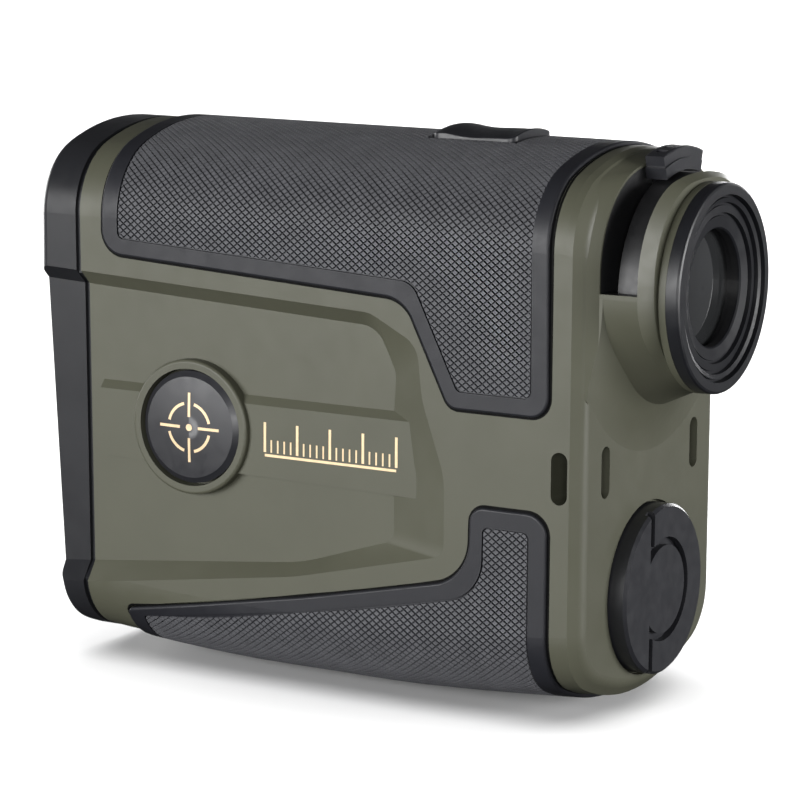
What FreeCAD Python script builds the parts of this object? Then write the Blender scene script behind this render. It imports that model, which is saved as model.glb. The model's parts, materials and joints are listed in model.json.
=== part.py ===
"""Monocular laser rangefinder: a hollow olive housing with a front bezel, two wrap-round grip pads,
an eyepiece with a dioptre lever, two push buttons, a screw-in battery cap and the optics inside.

Millimetres. While it is built, +Y points to the target, +Z is up, X = 0 is the symmetry plane and
z = 0 is the flat that the body rests on. place() then centres the length on the origin.
"""
import FreeCAD
import Part
import math
import os

V = FreeCAD.Vector

# ---- overall size -----------------------------------------------------------------------------
REAR_END = -12.5            # rear face of the eyecup
FRONT_END = 84.6            # foremost edge of the bezel
HALF_WIDTH = 20.4
SHELL_TOP = 76.4            # crown of the housing
SHELL_BOTTOM = 0.25         # lowest line of the housing, inside the lower pad
CROWN_R = 38.0
TOP_CORNER_R = 10.5
BOTTOM_CORNER_R = 9.0

# ---- housing ----------------------------------------------------------------------------------
REAR_FACE = -2.0
REAR_ROUND = 2.0            # softens the bevel into the rear face
BEVEL_START = -0.4          # where the bevel round the rear end leaves the sides
PARTING = 77.2              # joint between housing and bezel, at mid height
PARTING_RAKE = 0.8          # degrees, the joint leans rearward towards the bottom
WALL = 2.2
INNER_HALF_WIDTH = 16.9
CAVITY_START = 1.0
FRONT_RISE = 1.4            # how far the belly line climbs at the front
REAR_RISE = 2.1             # and at the rear
BELLY_FRONT = 52.0
BELLY_REAR = 32.0
RISE_POWER = 1.5

# ---- side panel -------------------------------------------------------------------------------
PANEL_X = 18.4              # floor of the side recess
BAND_X = 19.3
BAND_LOW = 30.1
BAND_LOW_REAR = 29.3
BAND_HIGH = 40.8
BAND_BEVEL = 1.1
BAND_REAR = 19.0
RING_Y = 59.4
RING_Z = 35.6
RING_R = 9.5
RING_BORE = 8.25
RING_X = 20.1

# ---- pads -------------------------------------------------------------------------------------
PAD_PROUD = 0.5
PAD_DEPTH = 0.8
PAD_GAP = 0.25
PAD_EDGE_R = 0.35
FIELD_DEPTH = 0.3           # the knurled fields lie this far below the pad's border
RUNNER_HALF = 8.0           # smooth strip under the body that it rests on

# ---- eyepiece ---------------------------------------------------------------------------------
AXIS_Z = 58.3               # optical axis
SHROUD_HALF = 17.8          # half width of the shroud at the front of the lever slot
SHROUD_TAPER = 0.096        # loss of half width per millimetre towards the rear
SHROUD_CORNER_R = 13.0
SHROUD_SINK = 0.15          # its first outline lies this far inside the housing
SHROUD_BASE = 0.6           # where its taper leaves the housing
SHROUD_DROP = 0.31          # fall of its crown per millimetre towards the rear
SHROUD_END = -9.4
SHROUD_END_HALF = 14.9      # a bevel behind the slot closes the shroud down to the flange ring
SHROUD_END_CORNER_R = 12.5
SHROUD_END_TOP = 72.8
NECK_END_R = 13.8
NECK_SHOULDER_R = 14.3      # the neck is a cone from its shoulder forward to the crease
NECK_SLICES = 30            # over its lower half turn
FADE_SPAN = 46.0            # degrees over which the shroud's sides fade into the cone
CREASE_R = 16.1
CREASE_Y = -4.3
FLARE_MID_R = 19.7
FLARE_MID_Y = -2.68
FLARE_FOOT_R = 23.1         # the flare sinks into the rear face just inside this radius
FLARE_SINK = 0.07
NECK_BORE = 12.4
SLOT_FRONT = -3.0
SLOT_REAR = -8.2
SLOT_START = 2.0            # degrees above the horizontal, each side
LINER_WALL = 0.6
LINER_INSET = 0.35          # olive lip left round the lining
DRUM_R = 15.0
DRUM_FRONT = -4.25          # the lever's foot runs in front of the drum
FLANGE_R = 14.1
FLANGE_END = -10.6
CUP_R = 14.06
CUP_APERTURE = 7.9
LEVER_R = 18.6
LEVER_STEP_R = 17.05         # between the lever's two tiers
LEVER_INNER_R = 15.45
LEVER_FRONT = -3.3
FOOT_REAR = -4.0

# ---- battery ----------------------------------------------------------------------------------
CAP_Z = 16.66
CAP_R = 11.65
CAP_FACE = -4.5
CAP_BACK = -1.2
THREAD_R = 10.2
CELL_R = 7.8
CELL_LENGTH = 27.0

# ---- buttons ----------------------------------------------------------------------------------
BUTTON_REAR = 16.5
BUTTON_FRONT = 29.5
BUTTON_HALF = 5.5
BUTTON_TOP = 78.1
BUTTON_GAP = 0.25
BUTTON_CROWN_R = 17.0
BUTTON_CORNER_R = 1.3
DISC_R = 7.9
DISC_X = 19.95

# ---- front optics -----------------------------------------------------------------------------
OBJECTIVE_R = 12.5
OBJECTIVE_FRONT = 80.4      # front rim of the objective's barrel
RECEIVER_FRONT = 79.4
RECEIVER_Z = 23.5
RECEIVER_R = 8.0

CLEAR = 0.05                # running clearance, per side


# ---- helpers ----------------------------------------------------------------------------------
def box(x0, x1, y0, y1, z0, z1):
    return Part.makeBox(x1 - x0, y1 - y0, z1 - z0, V(x0, y0, z0))


def rod(r, start, end):
    """Cylinder between two points."""
    a = V(*start)
    b = V(*end)
    return Part.makeCylinder(r, (b - a).Length, a, b - a)


def mirrored(shape):
    return shape.mirror(V(0, 0, 0), V(1, 0, 0))


def both_sides(shape):
    return shape.fuse(mirrored(shape))


def fuse_all(shapes):
    result = shapes[0]
    for shape in shapes[1:]:
        result = result.fuse(shape)
    return result.removeSplitter()


def polar(r, y, angle, z=AXIS_Z):
    """Point at radius r about the axis (0, z); angle 0 is +X and 90 is straight up."""
    a = math.radians(angle)
    return V(r * math.cos(a), y, z + r * math.sin(a))


def turned(profile, z=AXIS_Z, start=0.0, sweep=360.0):
    """Revolve a closed (radius, y) profile about the Y axis at height z."""
    points = [polar(r, y, start, z) for r, y in profile]
    face = Part.Face(Part.makePolygon(points + points[:1]))
    return face.revolve(V(0, 0, z), V(0, -1, 0), sweep)


def tube(r_out, r_in, y0, y1, z=AXIS_Z, start=0.0, sweep=360.0):
    return turned([(r_in, y0), (r_out, y0), (r_out, y1), (r_in, y1)], z, start, sweep)


def half_sag(r, bulge):
    """Depth below the apex, at half the rim radius, of a spherical cap of that rim radius and bulge."""
    sphere = (r * r + bulge * bulge) / (2 * abs(bulge))
    return math.copysign(sphere - math.sqrt(sphere * sphere - r * r / 4), bulge)


def lens(r, edge_rear, edge_front, rear_bulge, front_bulge, z=AXIS_Z):
    """Round lens; a positive bulge makes that face convex, and 0 makes it flat."""
    def face_edge(centre_y, rim_y, outward):
        start = V(0, centre_y, z)
        end = V(r, rim_y, z)
        if centre_y == rim_y:
            return Part.LineSegment(*((start, end) if outward else (end, start))).toShape()
        middle = V(r / 2, centre_y + half_sag(r, rim_y - centre_y), z)
        return Part.Arc(*((start, middle, end) if outward else (end, middle, start))).toShape()

    rear = edge_rear - rear_bulge
    front = edge_front + front_bulge
    edges = [
        face_edge(rear, edge_rear, True),
        Part.LineSegment(V(r, edge_rear, z), V(r, edge_front, z)).toShape(),
        face_edge(front, edge_front, False),
        Part.LineSegment(V(0, front, z), V(0, rear, z)).toShape(),
    ]
    return Part.Face(Part.Wire(edges)).revolve(V(0, 0, z), V(0, 1, 0), 360)


def rounded_edges(corners):
    """Edges of a closed outline given as (point, corner radius); radius 0 keeps a sharp corner."""
    cuts = []
    count = len(corners)
    for i, (point, radius) in enumerate(corners):
        before = (corners[i - 1][0] - point).normalize()
        after = (corners[(i + 1) % count][0] - point).normalize()
        if radius == 0:
            cuts.append((point, None, point))
            continue
        half = before.getAngle(after) / 2
        reach = radius / math.tan(half)
        middle = (before + after).normalize() * (radius / math.sin(half) - radius)
        cuts.append((point + before * reach, point + middle, point + after * reach))
    edges = []
    for i, (first, middle, last) in enumerate(cuts):
        if middle is not None:
            edges.append(Part.Arc(first, middle, last).toShape())
        following = cuts[(i + 1) % count][0]
        if (following - last).Length > 1e-6:
            edges.append(Part.LineSegment(last, following).toShape())
    return edges


def side_wire(outline, x):
    """Closed wire in the plane X = x from (y, z, corner radius) entries."""
    return Part.Wire(rounded_edges([(V(x, y, z), r) for y, z, r in outline]))


def side_prism(outline, x0, x1):
    return Part.Face(side_wire(outline, x0)).extrude(V(x1 - x0, 0, 0))


def grown(outline, gap):
    """The outline moved outwards by gap all round, corner radii included."""
    wire = side_wire(outline, -HALF_WIDTH * 1.5)
    wider = wire.makeOffset2D(gap)
    return Part.Face(wider).extrude(V(HALF_WIDTH * 3, 0, 0))


# ---- the hull ---------------------------------------------------------------------------------
def belly_rise(y):
    """Height of the belly line above its lowest stretch."""
    if y > BELLY_FRONT:
        return FRONT_RISE * ((y - BELLY_FRONT) / (PARTING - BELLY_FRONT)) ** RISE_POWER
    if y < BELLY_REAR:
        return REAR_RISE * ((BELLY_REAR - y) / (BELLY_REAR - REAR_FACE)) ** RISE_POWER
    return 0.0


def crown(side, corner_r, peak, grow):
    """Crown and corner circles of the cross-section; side is +1 for the top, -1 for the belly."""
    centre = V(0, 0, peak - side * CROWN_R)
    x = HALF_WIDTH - corner_r
    rise = math.sqrt((CROWN_R - corner_r) ** 2 - x * x)
    corner = V(x, 0, centre.z + side * rise)
    out = (corner - centre).normalize()
    tangent = corner + out * (corner_r + grow)
    side_point = corner + V(corner_r + grow, 0, 0)
    middle = corner + (out + V(1, 0, 0)).normalize() * (corner_r + grow)
    peak_point = centre + V(0, 0, side * (CROWN_R + grow))
    return tangent, middle, side_point, peak_point


def flip(p):
    return V(-p.x, p.y, p.z)


def section(y, grow=0.0, fall=0.0):
    """Cross-section of the hull at y, offset outwards by grow, its crown lowered by fall."""
    t_tan, t_mid, t_side, t_peak = crown(1, TOP_CORNER_R, SHELL_TOP - fall, grow)
    b_tan, b_mid, b_side, b_peak = crown(-1, BOTTOM_CORNER_R, SHELL_BOTTOM + belly_rise(y), grow)
    edges = [
        Part.Arc(flip(t_tan), t_peak, t_tan).toShape(),
        Part.Arc(t_tan, t_mid, t_side).toShape(),
        Part.LineSegment(t_side, b_side).toShape(),
        Part.Arc(b_side, b_mid, b_tan).toShape(),
        Part.Arc(b_tan, b_peak, flip(b_tan)).toShape(),
        Part.Arc(flip(b_tan), flip(b_mid), flip(b_side)).toShape(),
        Part.LineSegment(flip(b_side), flip(t_side)).toShape(),
        Part.Arc(flip(t_side), flip(t_mid), flip(t_tan)).toShape(),
    ]
    wire = Part.Wire(edges)
    wire.translate(V(0, y, 0))
    return wire


def hull(y0, y1, grow=0.0, stations=9):
    steps = [y0 + (y1 - y0) * i / (stations - 1) for i in range(stations)]
    return Part.makeLoft([section(y, grow) for y in steps], True, False)


def straight_hull(y0, y1, grow, at):
    """The hull's cross-section at one station, carried straight from y0 to y1."""
    wire = section(at, grow)
    wire.translate(V(0, y0 - at, 0))
    return Part.Face(wire).extrude(V(0, y1 - y0, 0))


def parting_slab(offset, depth):
    """Half-space block in front of the raked parting plane, moved forward by offset."""
    slab = box(-60, 60, 0, depth, -80, 80)
    slab.rotate(V(0, 0, 0), V(1, 0, 0), -PARTING_RAKE)
    slab.translate(V(0, PARTING + offset, SHELL_TOP / 2))
    return slab


# ---- side recess, band and ring ---------------------------------------------------------------
PANEL_OUTER = [(95, 57.1, 0), (30.0, 54.2, 5), (22.6, 50.5, 4), (21.7, 43.0, 12), (18.1, 33.0, 12),
               (18.1, 22.2, 2), (42, 16.5, 30), (95, 8.8, 0)]
PANEL_INNER = [(95, 55.1, 0), (30.0, 52.0, 4), (27.0, 46.0, 4), (27.3, 41.0, 12), (27.3, 33.0, 12),
               (27.2, 23.0, 2), (42, 18.2, 30), (95, 12.4, 0)]


def side_recess(grow=0.0):
    """Tapered cutter for the sunken panel on the +X side."""
    inner = side_wire(PANEL_INNER, PANEL_X - grow)
    outer = side_wire(PANEL_OUTER, HALF_WIDTH + 0.05)
    outermost = Part.Face(outer).extrude(V(4, 0, 0))
    return Part.makeLoft([inner, outer], True, True).fuse(outermost)


def band():
    """Raised tongue along the panel, with a bevel on its upper edge; its lower edge falls towards the rear."""
    ends = []
    for y, low in ((BAND_REAR, BAND_LOW_REAR), (75, BAND_LOW)):
        profile = [V(PANEL_X - 1, y, low), V(BAND_X, y, low), V(BAND_X, y, BAND_HIGH - BAND_BEVEL),
                   V(PANEL_X, y, BAND_HIGH), V(PANEL_X - 1, y, BAND_HIGH)]
        ends.append(Part.makePolygon(profile + profile[:1]))
    return Part.makeLoft(ends, True, True)


def guard_ring():
    """Raised collar round the mode button, on the -X side."""
    outer = rod(RING_R, (-PANEL_X + 1.2, RING_Y, RING_Z), (-RING_X, RING_Y, RING_Z))
    rim = [e for e in outer.Edges if abs(e.CenterOfMass.x + RING_X) < 0.01 and e.Length > RING_R]
    return outer.makeFillet(0.45, rim)


# ---- pads -------------------------------------------------------------------------------------
UPPER_PAD = [(73.8, 95, 0), (73.6, 59.1, 3.5), (24.6, 56.4, 5), (17.6, 42.35, 2.2),
             (2.6, 42.35, 2.7), (3.2, 95, 0)]
LOWER_PAD = [(69.8, -20, 0), (70.4, 8.5, 1.2), (40.3, 14.0, 60), (14.4, 19.6, 6.5),
             (14.2, 29.6, 2.2), (2.6, 29.6, 3), (2.6, -20, 0)]


UPPER_FIELD = [(71.1, 95, 0), (70.9, 61.3, 1.0), (23.3, 58.8, 3.0), (16.3, 44.75, 1.0),
               (5.1, 44.75, 1.0), (5.6, 95, 0)]
LOWER_FIELD = [(67.3, -20, 0), (67.6, 7.6, 0.6), (40.3, 12.0, 60), (12.3, 17.6, 6), (12.2, 27.1, 1.0),
               (5.2, 27.1, 1.0), (5.2, -20, 0)]


def outer_rim(shape, skin):
    """Edges where the pad's side walls meet its outer skin."""
    surface = Part.Shell(skin.Faces)
    rim = []
    for edge in shape.Edges:
        middle = Part.Vertex(edge.valueAt((edge.FirstParameter + edge.LastParameter) / 2))
        if surface.distToShape(middle)[0] > 0.01:
            continue
        skin_sides = 0
        for face in shape.ancestorsOfType(edge, Part.Face):
            u0, u1, v0, v1 = face.ParameterRange
            centre = Part.Vertex(face.valueAt((u0 + u1) / 2, (v0 + v1) / 2))
            if surface.distToShape(centre)[0] < 0.02:
                skin_sides = skin_sides + 1
        if skin_sides == 1:
            rim.append(edge)
    return rim


def pad(outline):
    outer = hull(0.5, 75.5, PAD_PROUD)
    block = outer.cut(hull(0.4, 75.6, -PAD_DEPTH))
    block = block.common(side_prism(outline, -HALF_WIDTH * 1.5, HALF_WIDTH * 1.5))
    return block.makeFillet(PAD_EDGE_R, outer_rim(block, outer))


def knurl_field(outline):
    """Shallow recess for the diamond knurl."""
    skin = hull(0.5, 76, 3).cut(hull(0.4, 76.1, PAD_PROUD - FIELD_DEPTH))
    return skin.common(side_prism(outline, -HALF_WIDTH * 1.5, HALF_WIDTH * 1.5))


def pad_seat(outline):
    skin = hull(0.5, 76, 3).cut(hull(0.4, 76.1, -PAD_DEPTH))
    return skin.common(grown(outline, PAD_GAP))


def upper_grip_pad():
    return pad(UPPER_PAD).cut(knurl_field(UPPER_FIELD)).cut(button_opening())


def lower_grip_pad():
    """Wraps under the body; its underside is ground to the flat that the body rests on."""
    runner = box(-RUNNER_HALF, RUNNER_HALF, -20, 90, -10, 10)
    field = knurl_field(LOWER_FIELD).cut(runner)
    return pad(LOWER_PAD).cut(field).cut(box(-30, 30, -20, 90, -10, 0))


# ---- shroud round the eyepiece ----------------------------------------------------------------
def arch(y, half, corner_r, top, inset=0.0):
    """Closed outline at y: a wide crown, round corners and short straight sides down to the optical axis."""
    centre = V(0, 0, top - CROWN_R)
    x = half - corner_r
    corner = V(x, 0, centre.z + math.sqrt((CROWN_R - corner_r) ** 2 - x * x))
    out = (corner - centre).normalize()
    tangent = corner + out * (corner_r - inset)
    middle = corner + (out + V(1, 0, 0)).normalize() * (corner_r - inset)
    side = corner + V(corner_r - inset, 0, 0)
    low = V(side.x, 0, AXIS_Z)
    peak = V(0, 0, top - inset)
    edges = [
        Part.LineSegment(flip(low), flip(side)).toShape(),
        Part.Arc(flip(side), flip(middle), flip(tangent)).toShape(),
        Part.Arc(flip(tangent), peak, tangent).toShape(),
        Part.Arc(tangent, middle, side).toShape(),
        Part.LineSegment(side, low).toShape(),
        Part.LineSegment(low, flip(low)).toShape(),
    ]
    wire = Part.Wire(edges)
    wire.translate(V(0, y, 0))
    return wire


def shroud_arch(y, inset=0.0):
    """Outline of the shroud at y, drawn in by inset."""
    half = SHROUD_HALF - SHROUD_TAPER * (SLOT_FRONT - y)
    top = SHELL_TOP - SHROUD_SINK - SHROUD_DROP * (SHROUD_BASE - y)
    return arch(y, half, SHROUD_CORNER_R, top, inset)


def shroud():
    """Tapered arch over the eyepiece; behind the lever slot it closes in on the flange ring."""
    end = arch(SHROUD_END, SHROUD_END_HALF, SHROUD_END_CORNER_R, SHROUD_END_TOP)
    return Part.makeLoft([shroud_arch(SLOT_FRONT), shroud_arch(SLOT_REAR), end], True, True)


def shroud_blend():
    """Ruled skin that carries the housing's upper outline back to the narrower shroud."""
    fall = SHROUD_DROP * (SHROUD_BASE - BEVEL_START)
    top = SHELL_TOP - SHROUD_SINK - fall
    first = arch(BEVEL_START, HALF_WIDTH - SHROUD_SINK, TOP_CORNER_R - SHROUD_SINK, top)
    return Part.makeLoft([first, shroud_arch(SLOT_FRONT)], True, True)


def neck_section(angle, end_r, shoulder_r, crease_r, crease_y):
    """Radial slice of the neck: a short bevel, a tapering wall, a crease and a wide flare."""
    inner = NECK_BORE - 2.0
    root = REAR_FACE + 1.2
    crease = polar(crease_r, crease_y, angle)
    foot = polar(FLARE_FOOT_R, REAR_FACE + FLARE_SINK, angle)
    corners = [foot, polar(FLARE_FOOT_R, root, angle), polar(inner, root, angle),
               polar(inner, SHROUD_END, angle), polar(end_r, SHROUD_END, angle),
               polar(shoulder_r, SLOT_REAR, angle), crease]
    edges = [Part.LineSegment(p, q).toShape() for p, q in zip(corners, corners[1:])]
    edges.append(Part.Arc(crease, polar(FLARE_MID_R, FLARE_MID_Y, angle), foot).toShape())
    return Part.Wire(edges)


def rear_envelope():
    """Space between the bevels of both rear corners and between the shroud's sides."""
    side = HALF_WIDTH - SHROUD_SINK
    outline = [(side, 2.0), (side, BEVEL_START), (SHROUD_HALF, SLOT_FRONT), (SHROUD_HALF, SHROUD_END - 1)]
    points = [V(x, y, 20) for x, y in outline] + [V(-x, y, 20) for x, y in reversed(outline)]
    return Part.Face(Part.makePolygon(points + points[:1])).extrude(V(0, 0, 60))


def eyepiece_neck():
    """Lower half of the neck: the shroud's straight sides fade round into a cone with a wide flare.

    The flare stops at the bevels of the rear corners.
    """
    flush = 0.02            # the neck starts this far inside the shroud's sides
    side_r = SHROUD_HALF - flush
    side_y = -3.53          # here the flare has the shroud's own half width
    rear_r = SHROUD_HALF - SHROUD_TAPER * (SLOT_FRONT - SLOT_REAR) - flush
    closing_r = SHROUD_END_HALF - flush
    slices = []
    for i in range(NECK_SLICES + 1):
        angle = 180 + 180 * i / NECK_SLICES
        t = min(1, (90 - abs(angle - 270)) / FADE_SPAN)
        ease = t * t * (3 - 2 * t)
        end_r = closing_r + (NECK_END_R - closing_r) * ease
        shoulder_r = rear_r + (NECK_SHOULDER_R - rear_r) * ease
        crease_r = side_r + (CREASE_R - side_r) * ease
        crease_y = side_y + (CREASE_Y - side_y) * ease
        slices.append(neck_section(angle, end_r, shoulder_r, crease_r, crease_y))
    return Part.makeLoft(slices, True, False).common(rear_envelope())


def lever_slot():
    """Half-round window over the top of the shroud, for the dioptre lever."""
    reach = HALF_WIDTH + 3
    floor = NECK_BORE - 1
    profile = [(floor, SLOT_REAR), (reach, SLOT_REAR), (reach, SLOT_FRONT), (floor, SLOT_FRONT)]
    return turned(profile, AXIS_Z, SLOT_START, 180 - 2 * SLOT_START)


def liner_room():
    """Room for the slot's lining: the shroud's own form, drawn in by the lip, down to the neck's bore."""
    front = SLOT_FRONT + LINER_WALL
    block = Part.makeLoft([shroud_arch(front, LINER_INSET), shroud_arch(SLOT_REAR, LINER_INSET)], True, True)
    return block.cut(rod(NECK_BORE, (0, SHROUD_END - 1, AXIS_Z), (0, 2, AXIS_Z)))


# ---- strap passages ---------------------------------------------------------------------------
def strap_passage():
    """Rounded slot in the side wall that turns the corner and leaves through the rear face."""
    low = 31.1
    high = 38.1
    width = 2.4
    side_y = 1.1
    rear_x = 13.2
    r = width / 2
    side_run = box(rear_x - r, 24, side_y - r, side_y + r, low + r, high - r)
    for z in (low + r, high - r):
        side_run = side_run.fuse(rod(r, (rear_x - r, side_y, z), (24, side_y, z)))
    rear_run = box(rear_x - r, rear_x + r, -6, side_y + r, low + r, high - r)
    for z in (low + r, high - r):
        rear_run = rear_run.fuse(rod(r, (rear_x, -6, z), (rear_x, side_y + r, z)))
    return side_run.fuse(rear_run)


def strap_boss():
    return box(10.6, INNER_HALF_WIDTH + 0.5, 0, 3.6, 29.6, 39.6)


# ---- housing ----------------------------------------------------------------------------------
PLATE_SCREWS = [(13.9, 43.0), (13.9, 9.8), (-13.9, 43.0), (-13.9, 9.8)]
SCREW_R = 0.8
PLATE_Y = 73.4


def rear_cap():
    """Rear end of the housing: its crown starts to fall, then a bevel leads round to the rear face."""
    fall = SHROUD_DROP * (SHROUD_BASE - BEVEL_START)
    bevel = BEVEL_START - REAR_FACE
    outlines = [section(SHROUD_BASE), section(BEVEL_START, 0, fall), section(REAR_FACE, -bevel, fall)]
    cap = Part.makeLoft(outlines, True, True)
    rim = [e for e in cap.Edges if e.BoundBox.YMax < REAR_FACE + 0.01]
    return cap.makeFillet(REAR_ROUND, rim)


def outer_form():
    return hull(SHROUD_BASE, PARTING + 3).fuse(rear_cap())


def plate_bosses():
    posts = []
    for x, z in PLATE_SCREWS:
        out = INNER_HALF_WIDTH + 0.5 if x > 0 else -INNER_HALF_WIDTH - 0.5
        post = rod(2.2, (x, PLATE_Y - 9, z), (x, PLATE_Y, z))
        web = box(min(x, out), max(x, out), PLATE_Y - 9, PLATE_Y, z - 1.4, z + 1.4)
        pilot = rod(SCREW_R, (x, PLATE_Y - 7, z), (x, PLATE_Y + 1, z))
        posts.append(post.fuse(web).cut(pilot))
    return posts


def body_shell():
    body = outer_form().fuse(shroud_blend()).fuse(shroud()).fuse(eyepiece_neck())
    body = body.cut(parting_slab(0, 20))
    body = body.cut(both_sides(side_recess()))
    body = body.fuse(both_sides(band()).common(outer_form()))
    body = body.cut(parting_slab(0, 20))
    body = body.fuse(guard_ring())
    cavity = hull(CAVITY_START, PARTING + 3, -WALL)
    cavity = cavity.common(box(-INNER_HALF_WIDTH, INNER_HALF_WIDTH, 0, 90, 0, 80))
    body = body.cut(cavity)
    body = body.fuse(both_sides(strap_boss()))
    for post in plate_bosses():
        body = body.fuse(post)
    holder = rod(THREAD_R + 1.4, (0, 0, CAP_Z), (0, 6.4, CAP_Z))
    body = body.fuse(holder)
    body = body.cut(both_sides(strap_passage()))
    body = body.cut(liner_room())
    body = body.cut(lever_slot())
    body = body.cut(rod(NECK_BORE, (0, SHROUD_END - 1, AXIS_Z), (0, 4, AXIS_Z)))
    body = body.cut(rod(CAP_R + 0.35, (0, -8, CAP_Z), (0, -1.0, CAP_Z)))
    body = body.cut(rod(THREAD_R, (0, -8, CAP_Z), (0, 3.0, CAP_Z)))
    body = body.cut(rod(9.3, (0, 0, CAP_Z), (0, 8, CAP_Z)))
    body = body.cut(pad_seat(UPPER_PAD))
    body = body.cut(pad_seat(LOWER_PAD))
    body = body.cut(button_opening())
    body = body.cut(rod(RING_BORE, (-PANEL_X + 0.4, RING_Y, RING_Z), (-26, RING_Y, RING_Z)))
    body = body.cut(rod(3.0, (-12, RING_Y, RING_Z), (-26, RING_Y, RING_Z)))
    return body.removeSplitter()


# ---- front ------------------------------------------------------------------------------------
BEZEL_PROFILE = [(PARTING - 6, -4, 0), (82.0, -4, 0), (81.9, 10.8, 6), (84.6, 55.5, 30), (84.6, 80, 0),
                 (PARTING - 6, 80, 0)]
SEAL_THICK = 0.8


def front_bezel():
    """Black nose piece with a raked face, two lens hoods and the end of the side recess."""
    nose = straight_hull(PARTING - 2, FRONT_END + 2, 0, PARTING)
    nose = nose.common(side_prism(BEZEL_PROFILE, -30, 30))
    front = []
    for edge in nose.Edges:
        if edge.BoundBox.YMin > PARTING + 1.5:
            front.append(edge)
    nose = nose.makeFillet(1.3, front)
    nose = nose.cut(both_sides(side_recess()))
    nose = nose.common(parting_slab(SEAL_THICK, 20))
    cavity = straight_hull(PARTING - 4, FRONT_END - 4.6, -WALL, PARTING)
    cavity = cavity.common(box(-INNER_HALF_WIDTH, INNER_HALF_WIDTH, 0, 90, 0, 80))
    nose = nose.cut(cavity)
    for z, r, front in ((AXIS_Z, OBJECTIVE_R, OBJECTIVE_FRONT), (RECEIVER_Z, RECEIVER_R, RECEIVER_FRONT)):
        lip = front + 0.65
        nose = nose.cut(rod(r + 1.5, (0, 70, z), (0, lip, z)))
        nose = nose.cut(rod(r - 0.3, (0, 70, z), (0, 95, z)))
        hood = turned([(0, lip + 0.7), (r - 0.3, lip + 0.7), (r + 2.6, lip + 5.0), (0, lip + 5.0)], z)
        nose = nose.cut(hood)
    return nose.removeSplitter()


def bezel_seal():
    """Rubber cord in the joint between housing and bezel, set in by half a millimetre."""
    ring = straight_hull(PARTING - 4, PARTING + 6, -0.5, PARTING)
    ring = ring.cut(straight_hull(PARTING - 5, PARTING + 7, -WALL, PARTING)
                    .common(box(-INNER_HALF_WIDTH, INNER_HALF_WIDTH, 0, 90, 0, 80)))
    ring = ring.cut(both_sides(side_recess(0.5)))
    return ring.common(parting_slab(0.01, SEAL_THICK - 0.02))


def front_plate():
    """Inner plate that carries both lens cells, screwed to the housing's bosses."""
    plate = straight_hull(PLATE_Y, PLATE_Y + 2.0, -WALL - 0.15, PARTING)
    plate = plate.common(box(-INNER_HALF_WIDTH + 0.15, INNER_HALF_WIDTH - 0.15, 60, 90, 0, 80))
    plate = plate.cut(rod(OBJECTIVE_R + 1.5, (0, 60, AXIS_Z), (0, 90, AXIS_Z)))
    plate = plate.cut(rod(RECEIVER_R + 1.5, (0, 60, RECEIVER_Z), (0, 90, RECEIVER_Z)))
    for x, z in PLATE_SCREWS:
        plate = plate.cut(rod(SCREW_R + 0.15, (x, 60, z), (x, 90, z)))
    return plate


def plate_screws():
    screws = []
    for x, z in PLATE_SCREWS:
        shank = rod(SCREW_R, (x, PLATE_Y - 5, z), (x, PLATE_Y + 2.0, z))
        head = rod(1.6, (x, PLATE_Y + 2.0, z), (x, PLATE_Y + 3.2, z))
        drive = box(x - 1.2, x + 1.2, PLATE_Y + 2.7, PLATE_Y + 4, z - 0.25, z + 0.25)
        screws.append(shank.fuse(head).cut(drive).removeSplitter())
    return Part.makeCompound(screws)


# ---- front optics -----------------------------------------------------------------------------
def lens_cell_tube(r, z, y0, y1):
    """Barrel with an inner shoulder that the glass sits against and a flange at the front plate."""
    profile = [(r - 1.0, y0), (r + 1.45, y0), (r + 1.45, PLATE_Y - 0.8), (r + 2.0, PLATE_Y - 0.8),
               (r + 2.0, PLATE_Y), (r + 1.45, PLATE_Y), (r + 1.45, y1), (r + 0.05, y1),
               (r + 0.05, y1 - 8), (r - 1.0, y1 - 8)]
    return turned(profile, z)


def objective_cell():
    return lens_cell_tube(OBJECTIVE_R, AXIS_Z, 52, OBJECTIVE_FRONT + 0.6)


def objective_lens():
    return lens(OBJECTIVE_R, OBJECTIVE_FRONT - 4.4, OBJECTIVE_FRONT - 1.6, 0, 1.2)


def objective_rear_lens():
    return lens(OBJECTIVE_R, OBJECTIVE_FRONT - 7.2, OBJECTIVE_FRONT - 4.6, 1.1, -0.0)


def objective_retainer():
    return tube(OBJECTIVE_R, OBJECTIVE_R - 0.9, OBJECTIVE_FRONT - 1.35, OBJECTIVE_FRONT + 0.4)


def receiver_cell():
    return lens_cell_tube(RECEIVER_R, RECEIVER_Z, 50, RECEIVER_FRONT + 0.6)


def receiver_lens():
    return lens(RECEIVER_R, RECEIVER_FRONT - 5.2, RECEIVER_FRONT - 2.0, 1.0, 1.0, RECEIVER_Z)


def receiver_retainer():
    return tube(RECEIVER_R, RECEIVER_R - 0.8, RECEIVER_FRONT - 1.7, RECEIVER_FRONT + 0.4, RECEIVER_Z)


def receiver_diode():
    """Light sensor in a small round can, at the focus of the receiving lens."""
    can = rod(4.1, (0, 44, RECEIVER_Z), (0, 48, RECEIVER_Z))
    flange = rod(4.7, (0, 43.2, RECEIVER_Z), (0, 44, RECEIVER_Z))
    pins = [rod(0.25, (x, 41.2, RECEIVER_Z), (x, 43.2, RECEIVER_Z)) for x in (-1.3, 1.3)]
    return fuse_all([can, flange] + pins)


def receiver_board():
    board = box(-9, 9, 40.0, 41.2, RECEIVER_Z - 9, RECEIVER_Z + 9)
    shield = box(-6.5, 6.5, 37.2, 40.0, RECEIVER_Z - 6, RECEIVER_Z + 6)
    return board.fuse(shield)


def receiver_barrel():
    """Light-tight sleeve between the receiving lens cell and the sensor."""
    return tube(9.45, 8.6, 41.2, 49.9, RECEIVER_Z)


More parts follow.
